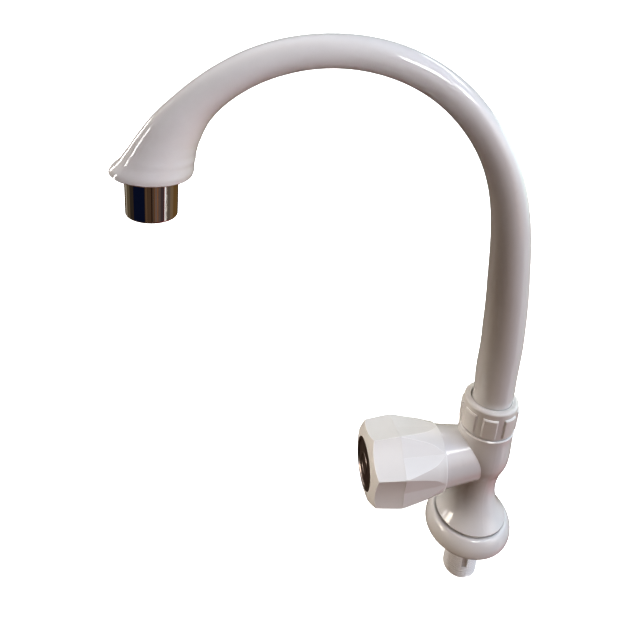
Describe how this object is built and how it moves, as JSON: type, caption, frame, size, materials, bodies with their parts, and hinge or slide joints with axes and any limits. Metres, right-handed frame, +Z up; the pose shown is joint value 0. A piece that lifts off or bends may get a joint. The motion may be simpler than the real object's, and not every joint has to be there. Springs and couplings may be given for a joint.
{
  "type": "kitchen tap",
  "caption": "Deck-mounted kitchen pillar tap with a tall swivelling swan-neck spout, bell-shaped nozzle with aerator, union nut, faceted handwheel valve and threaded shank.",
  "frame": {"origin": "on the column axis, in the plane of the worktop that the trim ring and rubber washer sit on", "axes": "+Z up along the column; the valve branch and its handwheel point along -Y; +X to the right seen from the handwheel; the spout is stored at azimuth 249 degrees, about 21 degrees round from the handwheel"},
  "size_m": [0.1179, 0.2315, 0.3273],
  "materials": {
    "white_body": "glossy white moulded ABS",
    "white_ring": "glossy white moulded ABS",
    "white_nut": "glossy white moulded ABS, slightly duller than the body",
    "white_spout": "glossy white moulded ABS",
    "white_knob": "glossy white moulded ABS",
    "chrome_aerator": "polished chromium plating",
    "chrome_cap": "bright plated rim round a dark tinted face",
    "black_rubber": "matt black nitrile rubber",
    "slide_nylon": "natural nylon",
    "acetal_head": "acetal",
    "fibre_gasket": "red fibre",
    "white_plastic": "acetal",
    "grey_plastic": "acetal",
    "steel_mesh": "woven stainless wire",
    "steel_screw": "stainless steel",
    "bare_brass": "machined brass"
  },
  "bodies": {
    "tap": {"tap_body": "white_body", "base_trim_ring": "white_ring", "base_washer": "black_rubber", "union_nut": "white_nut", "spout_friction_washer": "slide_nylon", "headwork_bonnet": "acetal_head", "bonnet_gasket": "fibre_gasket"},
    "spout": {"swan_neck_spout": "white_spout", "spout_retaining_ring": "slide_nylon", "spout_o_rings": "black_rubber", "aerator_housing": "chrome_aerator", "aerator_washer": "black_rubber", "aerator_diffuser": "white_plastic", "aerator_screens": "steel_mesh", "aerator_spacers": "white_plastic", "flow_straightener": "grey_plastic"},
    "handwheel": {"knob": "white_knob", "knob_screw": "steel_screw", "index_cap": "chrome_cap", "valve_spindle": "bare_brass", "spindle_o_rings": "black_rubber", "spindle_thrust_washer": "slide_nylon", "spindle_circlip": "steel_screw"},
    "jumper": {"jumper_valve": "acetal_head", "seat_washer": "black_rubber", "washer_screw": "steel_screw"}
  },
  "joints": [
    {"name": "spout_swivel", "type": "hinge", "parent": "tap", "child": "spout", "pos_m": [0, 0, 0], "axis": [0, 0, 1], "continuous": true},
    {"name": "knob_turn", "type": "hinge", "parent": "tap", "child": "handwheel", "pos_m": [0, 0, 0.0604], "axis": [0, -1, 0], "range_deg": [0, 810]},
    {"name": "jumper_lift", "type": "slide", "parent": "tap", "child": "jumper", "axis": [0, -1, 0], "range_m": [0, 0.00452]}
  ],
  "couplings": [
    {"joint": "jumper_lift", "follows": "knob_turn", "m_per_rad": 0.00031831}
  ]
}
